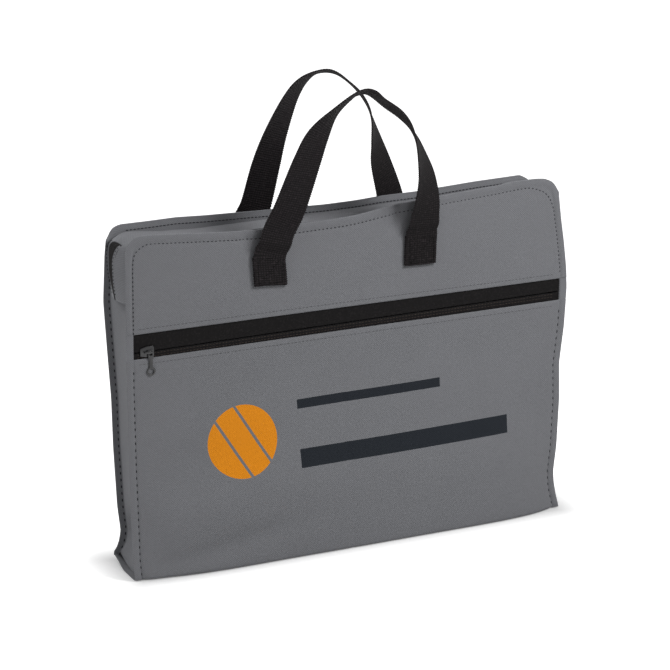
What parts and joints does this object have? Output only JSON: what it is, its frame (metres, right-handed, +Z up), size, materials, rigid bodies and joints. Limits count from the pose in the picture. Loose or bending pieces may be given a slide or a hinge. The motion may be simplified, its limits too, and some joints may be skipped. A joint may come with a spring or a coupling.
{
  "type": "zipped document bag",
  "caption": "Flat-standing fabric document bag with a zipped top gusset, a zipped front pocket and two webbing carry handles.",
  "frame": {"origin": "centre of the underside of the base, where the bag stands", "axes": "+X along the width to the right, -Y out of the front with the pocket, +Z up"},
  "size_m": [0.4, 0.1174, 0.4013],
  "materials": {
    "body_fabric": "matt spunbond non-woven with a fine embossed twill",
    "lining_fabric": "matt spunbond non-woven, inner side",
    "zip_tape": "black knitted tape",
    "zip_coil": "black monofilament coil",
    "slider": "black enamel, satin",
    "webbing": "ribbed polypropylene webbing"
  },
  "bodies": {
    "case": {"body_wrap": "body_fabric", "front_yoke": "body_fabric", "pocket_lining": "lining_fabric", "left_gusset": "body_fabric", "right_gusset": "body_fabric", "front_zip_strip_left_end": "body_fabric", "front_zip_strip_right_end": "body_fabric", "front_zip_tape_left_end": "zip_tape", "front_zip_tape_right_end": "zip_tape", "front_zip_coil_left_end": "zip_coil", "front_zip_coil_right_end": "zip_coil", "back_zip_strip_left_end": "body_fabric", "back_zip_strip_right_end": "body_fabric", "back_zip_tape_left_end": "zip_tape", "back_zip_tape_right_end": "zip_tape", "back_zip_coil_left_end": "zip_coil", "back_zip_coil_right_end": "zip_coil", "pocket_zip_tape_upper": "zip_tape", "pocket_zip_tape_lower": "zip_tape", "pocket_zip_coil_upper": "zip_coil", "pocket_zip_coil_lower": "zip_coil", "front_tab_left": "webbing", "front_tab_right": "webbing", "back_tab_left": "webbing", "back_tab_right": "webbing"},
    "front_flap": {"front_zip_strip": "body_fabric", "front_zip_tape": "zip_tape", "front_zip_coil": "zip_coil"},
    "back_flap": {"back_zip_strip": "body_fabric", "back_zip_tape": "zip_tape", "back_zip_coil": "zip_coil"},
    "main_slider": {"main_slider": "slider"},
    "main_pull": {"main_pull": "slider"},
    "pocket_slider": {"pocket_slider": "slider"},
    "pocket_pull": {"pocket_pull": "slider"},
    "front_handle": {"front_handle": "webbing"},
    "back_handle": {"back_handle": "webbing"}
  },
  "joints": [
    {"name": "main_zip_slide", "type": "slide", "parent": "case", "child": "main_slider", "axis": [-1, 0, 0], "range_m": [0, 0.34]},
    {"name": "main_pull_lift", "type": "hinge", "parent": "main_slider", "child": "main_pull", "pos_m": [0.172, 0, 0.28], "axis": [0, 1, 0], "range_deg": [0, 170]},
    {"name": "front_flap_fold", "type": "hinge", "parent": "case", "child": "front_flap", "pos_m": [0, -0.0232, 0.281], "axis": [1, 0, 0], "range_deg": [0, 99]},
    {"name": "back_flap_fold", "type": "hinge", "parent": "case", "child": "back_flap", "pos_m": [0, 0.0232, 0.281], "axis": [-1, 0, 0], "range_deg": [0, 99]},
    {"name": "pocket_zip_slide", "type": "slide", "parent": "case", "child": "pocket_slider", "axis": [1, 0, 0], "range_m": [0, 0.366]},
    {"name": "pocket_pull_swing", "type": "hinge", "parent": "pocket_slider", "child": "pocket_pull", "pos_m": [-0.1814, -0.026, 0.1965], "axis": [0, -1, 0], "range_deg": [-45, 85]},
    {"name": "front_handle_swing", "type": "hinge", "parent": "case", "child": "front_handle", "pos_m": [-0.005, -0.02785, 0.2685], "axis": [1, 0, 0], "range_deg": [-14, 146]},
    {"name": "back_handle_swing", "type": "hinge", "parent": "case", "child": "back_handle", "pos_m": [-0.005, 0.02785, 0.2685], "axis": [-1, 0, 0], "range_deg": [0, 160]}
  ],
  "couplings": [
    {"joint": "front_flap_fold", "follows": "main_zip_slide", "rad_per_m": 5.0306},
    {"joint": "back_flap_fold", "follows": "main_zip_slide", "rad_per_m": 5.0306}
  ]
}
